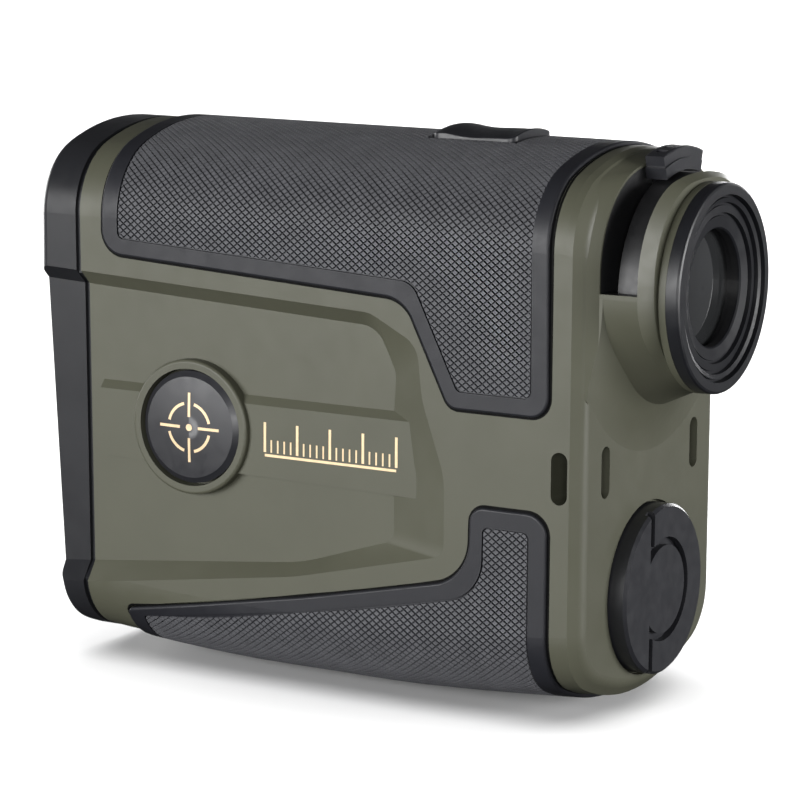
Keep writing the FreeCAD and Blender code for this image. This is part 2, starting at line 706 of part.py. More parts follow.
# ---- prisms, display and laser ----------------------------------------------------------------
PRISM_Y0 = 22.0
PRISM_Y1 = 46.0
PRISM_HALF = 8.0


def prism(points, half):
    """Triangular or polygonal glass block, its (y, z offset) outline extruded across X."""
    outline = [V(-half, y, AXIS_Z + z) for y, z in points]
    return Part.Face(Part.makePolygon(outline + outline[:1])).extrude(V(2 * half, 0, 0))


def half_prism():
    return prism([(PRISM_Y1, -8), (PRISM_Y1, 8), (PRISM_Y1 - 6.4, 8), (PRISM_Y1 - 13, -8)], PRISM_HALF)


def roof_prism():
    return prism([(PRISM_Y0, -8), (PRISM_Y0, 8), (PRISM_Y1 - 6.9, 8), (PRISM_Y1 - 13.5, -8)], PRISM_HALF)


def prism_chassis():
    """Open cradle with side cheeks and end walls bored for the light path."""
    cradle = box(-10.6, 10.6, PRISM_Y0 - 2, PRISM_Y1 + 2, AXIS_Z - 10.2, AXIS_Z + 8.6)
    cradle = cradle.cut(box(-PRISM_HALF - 0.05, PRISM_HALF + 0.05, PRISM_Y0 - 0.05, PRISM_Y1 + 0.05,
                            AXIS_Z - 8.05, AXIS_Z + 9))
    cradle = cradle.cut(rod(6.6, (0, 0, AXIS_Z), (0, 60, AXIS_Z)))
    for x in (-13.6, 13.6):
        ear = box(min(x, 0), max(x, 0), PRISM_Y1 - 6, PRISM_Y1 + 2, AXIS_Z - 10.2, AXIS_Z - 8.2)
        cradle = cradle.fuse(ear)
    cradle = cradle.cut(box(-7, 7, PRISM_Y0 + 4, PRISM_Y1 - 4, AXIS_Z - 12, AXIS_Z - 8.0))
    for x in (-12.2, 12.2):
        cradle = cradle.cut(rod(SCREW_R + 0.1, (x, PRISM_Y1 - 2, 40), (x, PRISM_Y1 - 2, 60)))
    return cradle.removeSplitter()


def chassis_screws():
    screws = []
    for x in (-12.2, 12.2):
        y = PRISM_Y1 - 2
        shank = rod(SCREW_R, (x, y, AXIS_Z - 14), (x, y, AXIS_Z - 8.2))
        head = rod(1.5, (x, y, AXIS_Z - 8.2), (x, y, AXIS_Z - 7.0))
        screws.append(shank.fuse(head))
    return Part.makeCompound(screws)


def chassis_rail():
    """Cross rail under the cradle that both chassis screws bite into, resting on the main board frame."""
    rail = box(-13.8, 13.8, PRISM_Y1 - 5, PRISM_Y1 + 1, AXIS_Z - 14.4, AXIS_Z - 10.2)
    for x in (-12.2, 12.2):
        rail = rail.cut(rod(SCREW_R, (x, PRISM_Y1 - 2, 30), (x, PRISM_Y1 - 2, 60)))
    return rail


def display_panel():
    """Small transparent display in its frame, at the image plane behind the prisms."""
    return box(-7.5, 7.5, 15.6, 17.2, AXIS_Z - 7.5, AXIS_Z + 7.5)


def display_frame():
    frame = box(-9, 9, 14.4, 18.4, AXIS_Z - 9, AXIS_Z + 8.4)
    frame = frame.cut(box(-7.55, 7.55, 15.55, 17.25, AXIS_Z - 7.55, AXIS_Z + 12))
    return frame.cut(rod(6.2, (0, 0, AXIS_Z), (0, 30, AXIS_Z)))


def laser_diode():
    can = rod(2.8, (0, 33.5, AXIS_Z - 18), (0, 37, AXIS_Z - 18))
    flange = rod(3.4, (0, 32.5, AXIS_Z - 18), (0, 33.5, AXIS_Z - 18))
    return can.fuse(flange)


def laser_holder():
    block = box(-5.5, 5.5, 30.5, 40.5, AXIS_Z - 23, AXIS_Z - 13)
    block = block.cut(rod(2.85, (0, 33.4, AXIS_Z - 18), (0, 50, AXIS_Z - 18)))
    return block.cut(rod(3.45, (0, 20, AXIS_Z - 18), (0, 33.55, AXIS_Z - 18)))


def main_board():
    board = box(15.2, 16.3, 8, 62, 26, 52)
    chips = [box(14.0, 15.2, y, y + w, z, z + h)
             for y, w, z, h in ((14, 8, 40, 8), (26, 6, 30, 6), (36, 9, 38, 9), (52, 7, 30, 7), (52, 5, 42, 4))]
    return fuse_all([board] + chips)


# ---- battery ----------------------------------------------------------------------------------
def battery_tube():
    sleeve = tube(9.3, CELL_R + 0.2, 3.05, 29.8, CAP_Z)
    end = rod(9.3, (0, 29.8, CAP_Z), (0, 31.0, CAP_Z))
    return sleeve.fuse(end).removeSplitter()


def battery_cell():
    can = rod(CELL_R, (0, 1.4, CAP_Z), (0, 1.4 + CELL_LENGTH - 1.2, CAP_Z))
    rim = [e for e in can.Edges if e.Length > CELL_R]
    can = can.makeFillet(0.5, rim)
    tip = rod(3.1, (0, CELL_LENGTH, CAP_Z), (0, 1.4 + CELL_LENGTH, CAP_Z))
    return can.fuse(tip)


def tube_contact():
    plate = rod(5.0, (0, 29.2, CAP_Z), (0, 29.8, CAP_Z))
    dimple = rod(2.0, (0, 1.4 + CELL_LENGTH, CAP_Z), (0, 29.2, CAP_Z))
    return plate.fuse(dimple)


def cap_groove():
    """Finger line across the cap: down one side, round a half disc and on to the far rim."""
    arc_r = 6.6
    x = -3.8
    half = 0.55
    depth = 1.0
    floor = CAP_FACE + depth
    ring = tube(arc_r + half, arc_r - half, CAP_FACE - 1, floor, CAP_Z)
    ring = ring.cut(box(-20, x - half, CAP_FACE - 2, floor + 1, CAP_Z - 20, CAP_Z + 20))
    bend = math.sqrt(arc_r ** 2 - x ** 2)
    up = box(x - half, x + half, CAP_FACE - 1, floor, CAP_Z + bend, CAP_Z + 20)
    down = box(x - half, x + half, CAP_FACE - 1, floor, CAP_Z - 20, CAP_Z - bend)
    return ring.fuse(up).fuse(down)


def battery_cap():
    rim = 0.4
    profile = [(0, CAP_FACE), (CAP_R - rim, CAP_FACE), (CAP_R, CAP_FACE + rim), (CAP_R, CAP_BACK - rim),
               (CAP_R - rim, CAP_BACK), (THREAD_R - 0.1, CAP_BACK), (THREAD_R - 0.1, -0.5),
               (THREAD_R - 1.1, -0.5), (THREAD_R - 1.1, 0.7), (THREAD_R - 0.1, 0.7),
               (THREAD_R - 0.1, 2.7), (8.3, 2.7), (8.3, -0.2), (0, -0.2)]
    return turned(profile, CAP_Z).cut(cap_groove())


def cap_seal_ring():
    """O-ring in the cap's groove; it slides with the cap and doesn't turn."""
    radius = 0.46
    centre = THREAD_R - radius - 0.08
    return Part.makeTorus(centre, radius, V(0, 0.1, CAP_Z), V(0, 1, 0))


def cap_contact():
    """Conical contact spring in the cap, drawn as a stack of three stepped washers."""
    wide = tube(5.2, 3.4, -0.2, 0.3, CAP_Z)
    middle = tube(4.4, 2.4, 0.3, 0.8, CAP_Z)
    narrow = rod(3.2, (0, 0.8, CAP_Z), (0, 1.3, CAP_Z))
    return fuse_all([wide, middle, narrow])


# ---- buttons ----------------------------------------------------------------------------------
def button_opening():
    return box(-BUTTON_HALF - BUTTON_GAP, BUTTON_HALF + BUTTON_GAP, BUTTON_REAR - BUTTON_GAP,
               BUTTON_FRONT + BUTTON_GAP, SHELL_TOP - 6, SHELL_TOP + 6)


BUTTON_SADDLE = [(14.0, 0.35), (16.5, 0.1), (19.5, 0.28), (22.5, 0.38), (25.5, 0.22), (27.8, 0.0), (29.2, 0.35),
                 (31.0, 1.5)]    # station along the key, and its crown's depth below BUTTON_TOP
FLANGE_TOP = SHELL_TOP - WALL - 0.95     # clears the arched roof at the flange's outer edge


def crowned_station(y, crown_z):
    """Slice of the key's saddle: flat below, arched across the top."""
    reach = BUTTON_HALF + 1
    drop = BUTTON_CROWN_R - math.sqrt(BUTTON_CROWN_R ** 2 - reach ** 2)
    low = SHELL_TOP - 3
    edges = [
        Part.LineSegment(V(-reach, y, low), V(reach, y, low)).toShape(),
        Part.LineSegment(V(reach, y, low), V(reach, y, crown_z - drop)).toShape(),
        Part.Arc(V(reach, y, crown_z - drop), V(0, y, crown_z), V(-reach, y, crown_z - drop)).toShape(),
        Part.LineSegment(V(-reach, y, crown_z - drop), V(-reach, y, low)).toShape(),
    ]
    return Part.Wire(edges)


def power_button():
    """Long top key with a saddle-shaped face; a flange under the roof keeps it in."""
    low = SHELL_TOP - 1.8
    key = box(-BUTTON_HALF, BUTTON_HALF, BUTTON_REAR, BUTTON_FRONT, low, BUTTON_TOP + 1)
    key = key.makeFillet(BUTTON_CORNER_R, [e for e in key.Edges if e.BoundBox.ZLength > 1])
    saddle = Part.makeLoft([crowned_station(y, BUTTON_TOP - drop) for y, drop in BUTTON_SADDLE], True, False)
    key = key.common(saddle)
    rim = [e for e in key.Edges if e.BoundBox.ZMin > low + 0.5 and e.BoundBox.ZLength < 2]
    key = key.makeFillet(0.2, rim)
    neck_part = box(-BUTTON_HALF + 1, BUTTON_HALF - 1, BUTTON_REAR + 1, BUTTON_FRONT - 1, FLANGE_TOP - 0.5, low)
    flange = box(-BUTTON_HALF - 0.9, BUTTON_HALF + 0.9, BUTTON_REAR - 0.9, BUTTON_FRONT + 0.9,
                 FLANGE_TOP - 1.0, FLANGE_TOP)
    stem = rod(1.6, (0, 23, FLANGE_TOP - 2.4), (0, 23, FLANGE_TOP - 1.0))
    return fuse_all([key, neck_part, flange, stem])


def power_switch():
    """Click switch under the power button: square can with a round plunger."""
    top = FLANGE_TOP - 3.3
    can = box(-2.6, 2.6, 20.4, 25.6, top - 1.9, top - 0.6)
    plunger = rod(1.3, (0, 23, top - 0.6), (0, 23, top))
    return can.fuse(plunger)


def switch_board():
    top = FLANGE_TOP - 3.3 - 1.9
    return box(-8.5, 8.5, 13, 33.5, top - 1.0, top)


def mode_button():
    """Round side key, slightly domed, with a stem through the wall."""
    dome = 0.25
    bevel = 0.5
    back = PANEL_X + 0.2
    x = -DISC_X
    face_r = DISC_R - bevel * 1.6
    rim = V(x + bevel, 0, DISC_R)
    shoulder = V(x, 0, face_r)
    tip = V(x - dome, 0, 0)
    mid = V(tip.x + half_sag(face_r, dome), 0, face_r / 2)
    edges = [
        Part.LineSegment(V(-back, 0, 0), V(-back, 0, DISC_R)).toShape(),
        Part.LineSegment(V(-back, 0, DISC_R), rim).toShape(),
        Part.LineSegment(rim, shoulder).toShape(),
        Part.Arc(shoulder, mid, tip).toShape(),
        Part.LineSegment(tip, V(-back, 0, 0)).toShape(),
    ]
    disc = Part.Face(Part.Wire(edges)).revolve(V(0, 0, 0), V(1, 0, 0), 360)
    disc.translate(V(0, RING_Y, RING_Z))
    stem = rod(2.9, (-back, RING_Y, RING_Z), (-14.6, RING_Y, RING_Z))
    groove = rod(4, (-16.5, RING_Y, RING_Z), (-16.0, RING_Y, RING_Z))
    groove = groove.cut(rod(2.2, (-17, RING_Y, RING_Z), (-15, RING_Y, RING_Z)))
    return disc.fuse(stem).cut(groove)


def mode_button_clip():
    """Spring clip in the stem's groove, which keeps the mode button in."""
    clip = rod(4.4, (-16.45, RING_Y, RING_Z), (-16.05, RING_Y, RING_Z))
    clip = clip.cut(rod(2.22, (-17, RING_Y, RING_Z), (-15, RING_Y, RING_Z)))
    return clip.cut(box(-18, -14, RING_Y, RING_Y + 6, RING_Z - 1.2, RING_Z + 1.2))


def mode_switch():
    can = box(-13.2, -11.9, RING_Y - 2.6, RING_Y + 2.6, RING_Z - 2.6, RING_Z + 2.6)
    plunger = rod(1.3, (-13.8, RING_Y, RING_Z), (-13.2, RING_Y, RING_Z))
    return can.fuse(plunger)


def mode_switch_board():
    return box(-11.9, -10.9, RING_Y - 7, RING_Y + 7, RING_Z - 5, RING_Z + 6)


# ---- eyepiece ---------------------------------------------------------------------------------
def eyepiece_tube():
    profile = [(CUP_APERTURE, FLANGE_END), (NECK_BORE - 0.05, FLANGE_END), (NECK_BORE - 0.05, -6.0),
               (8.6, -6.0), (8.6, -9.7), (CUP_APERTURE, -9.7)]
    return turned(profile)


def flange_ring():
    rim = 0.25
    profile = [(NECK_BORE - 0.02, SHROUD_END), (FLANGE_R - rim, SHROUD_END), (FLANGE_R, SHROUD_END - rim),
               (FLANGE_R, FLANGE_END), (NECK_BORE - 0.02, FLANGE_END)]
    return turned(profile)


CUP_TREADS = [(12.5, 0.0, 0.95), (11.45, 0.55, 1.15), (10.05, 0.85, 1.4)]     # radius, tread and groove depth
GROOVE = 0.34


def eyecup():
    """Rubber ring whose grooved treads funnel down to the lens."""
    profile = [(CUP_APERTURE, FLANGE_END), (CUP_R, FLANGE_END), (CUP_R, REAR_END + 0.4),
               (CUP_R - 0.12, REAR_END + 0.12), (CUP_R - 0.4, REAR_END)]
    for radius, tread, groove in CUP_TREADS:
        profile.append((radius, REAR_END + tread))
        profile.append((radius - 0.06, REAR_END + groove))
        profile.append((radius - 0.06 - GROOVE, REAR_END + groove))
        profile.append((radius - 0.12 - GROOVE, REAR_END + tread + 0.38))
    profile.append((CUP_APERTURE + 0.2, REAR_END + 1.5))
    profile.append((CUP_APERTURE, REAR_END + 1.7))
    return turned(profile)


def eye_lens():
    return lens(8.55, -8.7, -6.6, 0.5, 0.3)


def slot_liner():
    """Black lining of the lever slot: its front wall, both ends and the drum on its floor."""
    drum = tube(DRUM_R, NECK_BORE, SLOT_REAR, DRUM_FRONT, AXIS_Z, 0, 180)
    return liner_room().cut(lever_slot()).fuse(drum).removeSplitter()


def dioptre_ring():
    return tube(NECK_BORE - CLEAR, 11.1, -5.8, -2.4)


def dioptre_lever():
    """Two-tier arc-shaped tab over the top of the shroud, with a foot down to the ring."""
    upper = tube(LEVER_R, LEVER_STEP_R, -6.05, LEVER_FRONT, AXIS_Z, 71.5, 37.5)
    lower = tube(LEVER_STEP_R, LEVER_INNER_R, -6.3, LEVER_FRONT, AXIS_Z, 72.5, 37.8)
    foot = tube(LEVER_INNER_R, NECK_BORE - CLEAR, FOOT_REAR, LEVER_FRONT, AXIS_Z, 77, 26)
    lever = fuse_all([upper, lower, foot])
    rim = [e for e in lever.Edges if e.BoundBox.ZMin > AXIS_Z + LEVER_R - 1.1 and e.BoundBox.XLength > 8]
    lever = lever.makeFillet(0.3, rim)
    pitch = 6.4
    pit = 3.1
    for i in range(-2, 3):
        groove = tube(LEVER_R + 1, LEVER_R - 0.45, -5.5, -4.0, AXIS_Z, 90 + i * pitch - pit / 2, pit)
        lever = lever.cut(groove)
    return lever


def ocular_cell():
    """Sliding barrel that the dioptre ring drives along the axis."""
    profile = [(9.6, -3.9), (11.1 - CLEAR, -3.9), (11.1 - CLEAR, 9.0), (9.6, 9.0)]
    return turned(profile)


def field_lens():
    return lens(9.6, 3.0, 5.5, 1.2, 0.9)


def ocular_guide():
    """Fixed sleeve inside the housing that the ocular barrel slides in."""
    profile = [(11.1, 0.4), (12.3, 0.4), (12.3, 12.4), (9.4, 12.4), (9.4, 11.4), (11.1, 11.4)]
    return turned(profile)


# ---- output -----------------------------------------------------------------------------------
NODES = {
    "body_shell": body_shell,
    "front_bezel": front_bezel,
    "bezel_seal": bezel_seal,
    "front_plate": front_plate,
    "plate_screws": plate_screws,
    "upper_grip_pad": upper_grip_pad,
    "lower_grip_pad": lower_grip_pad,
    "objective_cell": objective_cell,
    "objective_lens": objective_lens,
    "objective_rear_lens": objective_rear_lens,
    "objective_retainer": objective_retainer,
    "receiver_cell": receiver_cell,
    "receiver_lens": receiver_lens,
    "receiver_retainer": receiver_retainer,
    "receiver_barrel": receiver_barrel,
    "receiver_diode": receiver_diode,
    "receiver_board": receiver_board,
    "half_prism": half_prism,
    "roof_prism": roof_prism,
    "prism_chassis": prism_chassis,
    "chassis_screws": chassis_screws,
    "chassis_rail": chassis_rail,
    "display_panel": display_panel,
    "display_frame": display_frame,
    "laser_diode": laser_diode,
    "laser_holder": laser_holder,
    "main_board": main_board,
    "battery_tube": battery_tube,
    "battery_cell": battery_cell,
    "tube_contact": tube_contact,
    "battery_cap": battery_cap,
    "cap_seal_ring": cap_seal_ring,
    "cap_contact": cap_contact,
    "power_button": power_button,
    "power_switch": power_switch,
    "switch_board": switch_board,
    "mode_button": mode_button,
    "mode_button_clip": mode_button_clip,
    "mode_switch": mode_switch,
    "mode_switch_board": mode_switch_board,
    "eyepiece_tube": eyepiece_tube,
    "flange_ring": flange_ring,
    "eyecup": eyecup,
    "eye_lens": eye_lens,
    "slot_liner": slot_liner,
    "dioptre_ring": dioptre_ring,
    "dioptre_lever": dioptre_lever,
    "ocular_cell": ocular_cell,
    "field_lens": field_lens,
    "ocular_guide": ocular_guide,
}


def place(shape):
    """Centre the length on the origin; the resting flat is already z = 0."""
    moved = shape.copy()
    moved.translate(V(0, -(REAR_END + FRONT_END) / 2, 0))
    return moved


def main():
    os.makedirs("parts", exist_ok=True)
    for name, make in NODES.items():
        shape = place(make())
        shape.exportStep(f"parts/{name}.step")
        print(name, len(shape.Solids), round(shape.Volume, 1), shape.isValid())


main()
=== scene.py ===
"""Looks for the laser rangefinder: materials for every CAD node, the knurled grip fields, the marks, stage, lights
and camera. Lengths are named in millimetres and reach Blender through MM."""

import json
import math

import bpy
import numpy as np
from mathutils import Matrix, Vector


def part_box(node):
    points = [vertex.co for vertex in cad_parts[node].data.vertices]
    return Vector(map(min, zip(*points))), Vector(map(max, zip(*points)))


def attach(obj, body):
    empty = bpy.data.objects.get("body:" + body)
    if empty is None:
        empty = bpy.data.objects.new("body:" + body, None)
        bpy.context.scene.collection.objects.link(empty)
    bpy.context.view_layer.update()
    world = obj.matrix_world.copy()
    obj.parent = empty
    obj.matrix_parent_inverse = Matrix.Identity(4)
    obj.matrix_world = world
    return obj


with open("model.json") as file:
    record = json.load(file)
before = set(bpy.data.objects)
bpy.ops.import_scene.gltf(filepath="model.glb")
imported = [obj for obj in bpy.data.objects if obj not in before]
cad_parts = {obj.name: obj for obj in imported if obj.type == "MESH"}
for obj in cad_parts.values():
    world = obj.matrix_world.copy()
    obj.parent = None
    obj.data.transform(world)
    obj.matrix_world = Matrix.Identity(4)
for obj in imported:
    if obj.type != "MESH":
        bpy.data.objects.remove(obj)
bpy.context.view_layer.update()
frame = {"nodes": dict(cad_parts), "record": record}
NODES = frame["nodes"]
MM = 0.001


# ---- small helpers ------------------------------------------------------------------------------
def corner(node):
    """Lowest and highest corners of a CAD node, in millimetres."""
    low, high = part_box(node)
    return low / MM, high / MM


def mesh_piece(name, vertices, faces, material, body, smooth=False):
    """A new mesh object from vertices in millimetres, riding on a CAD body."""
    mesh = bpy.data.meshes.new(name)
    mesh.from_pydata([tuple(float(c) * MM for c in v) for v in vertices], [], faces)
    mesh.validate()
    mesh.update()
    mesh.materials.append(material)
    if smooth:
        mesh.polygons.foreach_set("use_smooth", [True] * len(mesh.polygons))
    piece = bpy.data.objects.new(name, mesh)
    bpy.context.scene.collection.objects.link(piece)
    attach(piece, body)
    return piece


# ---- materials ----------------------------------------------------------------------------------
class Material:
    """A principled material with procedural colour variation, roughness variation and bump in millimetres."""

    def __init__(self, name, colour, roughness, metallic=0.0, specular=0.5, coat=0.0):
        self.data = bpy.data.materials.new(name)
        self.data.use_nodes = True
        self.tree = self.data.node_tree
        self.links = self.tree.links
        self.shader = self.tree.nodes["Principled BSDF"]
        self.shader.inputs["Base Color"].default_value = (*colour, 1)
        self.shader.inputs["Roughness"].default_value = roughness
        self.shader.inputs["Metallic"].default_value = metallic
        self.shader.inputs["Specular IOR Level"].default_value = specular
        self.shader.inputs["Coat Weight"].default_value = coat
        self.colour = colour
        self.place = self.node("ShaderNodeTexCoord").outputs["Object"]
        self.height = None
        self.data.diffuse_color = (*colour, 1)

    def node(self, kind, **values):
        made = self.tree.nodes.new(kind)
        for key, value in values.items():
            setattr(made, key, value)
        return made

    def noise(self, size_mm, detail=2.0, stretch=(1, 1, 1)):
        """Noise whose grains are about size_mm across."""
        mapping = self.node("ShaderNodeMapping")
        mapping.inputs["Scale"].default_value = [s / (size_mm * MM) for s in stretch]
        self.links.new(self.place, mapping.inputs["Vector"])
        texture = self.node("ShaderNodeTexNoise")
        texture.inputs["Scale"].default_value = 1.0
        texture.inputs["Detail"].default_value = detail
        self.links.new(mapping.outputs["Vector"], texture.inputs["Vector"])
        return texture.outputs["Fac"]

    def spread(self, source, low, high):
        """Map a noise's useful middle range to low..high."""
        scale = self.node("ShaderNodeMapRange")
        scale.inputs["From Min"].default_value = 0.3
        scale.inputs["From Max"].default_value = 0.7
        scale.inputs["To Min"].default_value = low
        scale.inputs["To Max"].default_value = high
        self.links.new(source, scale.inputs["Value"])
        return scale.outputs["Result"]

    def mottle(self, size_mm, amount, detail=3.0):
        """Lighter and darker patches: the base colour varies by +-amount."""
        mix = self.node("ShaderNodeMix", data_type="RGBA")
        dark = [c * (1 - amount) for c in self.colour]
        light = [min(1.0, c * (1 + amount)) for c in self.colour]
        mix.inputs[6].default_value = (*dark, 1)
        mix.inputs[7].default_value = (*light, 1)
        self.links.new(self.spread(self.noise(size_mm, detail), 0, 1), mix.inputs[0])
        self.links.new(mix.outputs[2], self.shader.inputs["Base Color"])
        return self

    def uneven_gloss(self, size_mm, low, high, detail=3.0):
        result = self.spread(self.noise(size_mm, detail), low, high)
        self.links.new(result, self.shader.inputs["Roughness"])
        return self

    def bump(self, size_mm, depth_mm, detail=2.0, stretch=(1, 1, 1)):
        """Surface grain; several calls stack."""
        made = self.node("ShaderNodeBump")
        made.inputs["Strength"].default_value = 1.0
        made.inputs["Distance"].default_value = depth_mm * MM
        self.links.new(self.noise(size_mm, detail, stretch), made.inputs["Height"])
        if self.height is not None:
            self.links.new(self.height, made.inputs["Normal"])
        self.height = made.outputs["Normal"]
        self.links.new(self.height, self.shader.inputs["Normal"])
        return self


def glass(name, tint, roughness=0.015, ior=1.52):
    made = Material(name, tint, roughness)
    made.shader.inputs["Transmission Weight"].default_value = 1.0
    made.shader.inputs["IOR"].default_value = ior
    made.shader.inputs["Coat Weight"].default_value = 0.25
    made.shader.inputs["Coat Tint"].default_value = (0.75, 0.85, 1.0, 1)
    made.uneven_gloss(6.0, roughness, roughness + 0.02)
    return made


OLIVE = (0.086, 0.087, 0.062)
SATIN_BLACK = (0.019, 0.0195, 0.022)
RUBBER_BLACK = (0.018, 0.0185, 0.0225)

paint = Material("olive_paint", OLIVE, 0.5, specular=0.35).mottle(9.0, 0.03).uneven_gloss(3.0, 0.40, 0.50)
paint.bump(0.22, 0.006, 3.0).bump(1.6, 0.004)
bezel = Material("bezel_satin_black", SATIN_BLACK, 0.36, specular=0.25).mottle(7.0, 0.08).uneven_gloss(2.5, 0.30, 0.40)
bezel.bump(0.2, 0.004, 3.0)
grip = Material("grip_rubber", RUBBER_BLACK, 0.5, specular=0.3).mottle(5.0, 0.08).uneven_gloss(2.0, 0.38, 0.48)
grip.bump(0.16, 0.005, 3.0)
# The diamonds' rubber is a lighter copy of the grip rubber: painted light for the light their facets catch from the
# side.
knurl = Material("knurl_rubber_lit_tone", (0.098, 0.099, 0.107), 0.6, specular=0.15)
knurl.mottle(3.0, 0.10).uneven_gloss(1.2, 0.45, 0.6).bump(0.10, 0.006)
# Near-black paint for the strips round the pads: painted shadow standing for the shade in the pads' gaps.
gap_shadow_paint = Material("pad_gap_shadow", (0.003, 0.003, 0.003), 0.7, specular=0.1).mottle(2.0, 0.2).uneven_gloss(1.0, 0.6, 0.8)
soft = Material("eyecup_rubber", (0.012, 0.0125, 0.015), 0.42, specular=0.35)
soft.mottle(4.0, 0.08).uneven_gloss(1.8, 0.34, 0.44).bump(0.14, 0.004, 3.0)
moulded = Material("moulded_black", (0.020, 0.0205, 0.024), 0.4).mottle(5.0, 0.08).uneven_gloss(1.6, 0.30, 0.42)
moulded.bump(0.18, 0.005, 3.0)
lining = Material("slot_lining", (0.011, 0.011, 0.012), 0.45).mottle(2.0, 0.1).uneven_gloss(1.0, 0.4, 0.5)
lining.bump(0.18, 0.004)
anodised = Material("black_anodised", (0.010, 0.010, 0.012), 0.48, metallic=0.3)
anodised.mottle(3.0, 0.15).uneven_gloss(0.8, 0.42, 0.56).bump(0.12, 0.006)
steel = Material("plated_steel", (0.55, 0.55, 0.56), 0.3, metallic=1.0)
steel.mottle(1.5, 0.06).uneven_gloss(0.6, 0.24, 0.38).bump(0.1, 0.003)
board = Material("solder_mask", (0.012, 0.09, 0.035), 0.35).mottle(2.0, 0.2).uneven_gloss(1.0, 0.3, 0.45)
board.bump(0.6, 0.02)
wrap = Material("cell_wrap", (0.50, 0.50, 0.53), 0.3).mottle(6.0, 0.06).uneven_gloss(2.0, 0.25, 0.38)
switch = Material("switch_black", (0.02, 0.02, 0.02), 0.35).mottle(1.5, 0.1).uneven_gloss(0.8, 0.3, 0.42)
front_glass = glass("coated_glass", (0.50, 0.56, 0.62))
clear_glass = glass("clear_glass", (0.93, 0.95, 0.96))
eye_glass = Material("eyepiece_glass", (0.022, 0.023, 0.024), 0.04, coat=0.3).mottle(6.0, 0.1)
eye_glass.uneven_gloss(5.0, 0.03, 0.05)
gold = Material("gold_ink", (0.86, 0.64, 0.39), 0.38, metallic=0.2).mottle(0.8, 0.06).uneven_gloss(0.5, 0.32, 0.44)
gold.bump(0.12, 0.002)

SLOT_MATERIALS = {
    "olive_shell": paint,
    "bezel_black": bezel,
    "grip_rubber": grip,
    "soft_rubber": soft,
    "black_plastic": moulded,
    "black_anodised": anodised,
    "coated_glass": front_glass,
    "clear_glass": clear_glass,
    "steel": steel,
    "circuit_board": board,
    "switch_body": switch,
    "cell_wrap": wrap,
}
NODE_MATERIALS = {"slot_liner": lining, "eyepiece_tube": lining, "eye_lens": eye_glass}


def dress_nodes():
    """Every CAD node gets the material of its record slot, or its own variant of it."""
    for entry in frame["record"]["subparts"]:
        node = NODES[entry["node"]]
        material = NODE_MATERIALS.get(entry["node"], SLOT_MATERIALS[entry["material_slot"]])
        node.data.materials.clear()
        node.data.materials.append(material.data)


dress_nodes()


# ---- knurled fields -----------------------------------------------------------------------------
# The housing's cross-section, as in the CAD: a wide crown, round corners and vertical sides. A point on the skin
# is given by its station y and its girth: the distance round the section from the crown, or up and down the side.
SHIFT = 36.05               # the CAD is drawn this far forward of the row frame
HALF_WIDTH = 20.4
SHELL_TOP = 76.4
SHELL_BOTTOM = 0.25
CROWN_R = 38.0
TOP_CORNER_R = 10.5
BOTTOM_CORNER_R = 9.0
PAD_PROUD = 0.5
FIELD_DEPTH = 0.3
RUNNER_HALF = 8.0
BELLY_FRONT, BELLY_REAR, RISE_POWER = 52.0, 32.0, 1.5
FRONT_RISE, REAR_RISE = 1.4, 2.1
PARTING, REAR_FACE = 77.2, -2.0


def belly_rise(y):
    front = np.clip((y - BELLY_FRONT) / (PARTING - BELLY_FRONT), 0, None)
    rear = np.clip((BELLY_REAR - y) / (BELLY_REAR - REAR_FACE), 0, None)
    return FRONT_RISE * front ** RISE_POWER + REAR_RISE * rear ** RISE_POWER


class CornerArc:
    """Crown and corner of one end of the section; side is +1 for the top, -1 for the belly."""

    def __init__(self, side, corner_r):
        self.side = side
        self.corner_r = corner_r
        self.x = HALF_WIDTH - corner_r
        self.rise = math.sqrt((CROWN_R - corner_r) ** 2 - self.x ** 2)
        self.turn = math.asin(self.x / (CROWN_R - corner_r))
        self.crown_girth = (CROWN_R + PAD_PROUD) * self.turn
        self.corner_girth = (corner_r + PAD_PROUD) * (math.pi / 2 - self.turn)

    def point(self, peak, girth, level):
        """x and z at a girth measured from the crown outwards; peak is the crown's height."""
        centre = peak - self.side * CROWN_R
        crown_angle = np.clip(girth, 0, self.crown_girth) / (CROWN_R + PAD_PROUD)
        corner_angle = self.turn + np.clip(girth - self.crown_girth, 0, self.corner_girth) / (self.corner_r + PAD_PROUD)
        straight = np.clip(girth - self.crown_girth - self.corner_girth, 0, None)
        on_crown = girth < self.crown_girth
        x = np.where(on_crown, (CROWN_R + level) * np.sin(crown_angle),
                     self.x + (self.corner_r + level) * np.sin(corner_angle))
        z = np.where(on_crown, (CROWN_R + level) * np.cos(crown_angle),
                     self.rise + (self.corner_r + level) * np.cos(corner_angle))
        return x, centre + self.side * (z - straight)

    def girth_at(self, peak, z):
        """Girth of a height on the corner or the straight side."""
        below = self.side * (peak - self.side * CROWN_R + self.side * self.rise - z)
        onto_arc = np.clip(-below / (self.corner_r + PAD_PROUD), 0, 1)
        bend = (self.corner_r + PAD_PROUD) * np.arcsin(onto_arc)
        return self.crown_girth + self.corner_girth - bend + np.clip(below, 0, None)


TOP_ARC = CornerArc(1, TOP_CORNER_R)
BELLY_ARC = CornerArc(-1, BOTTOM_CORNER_R)


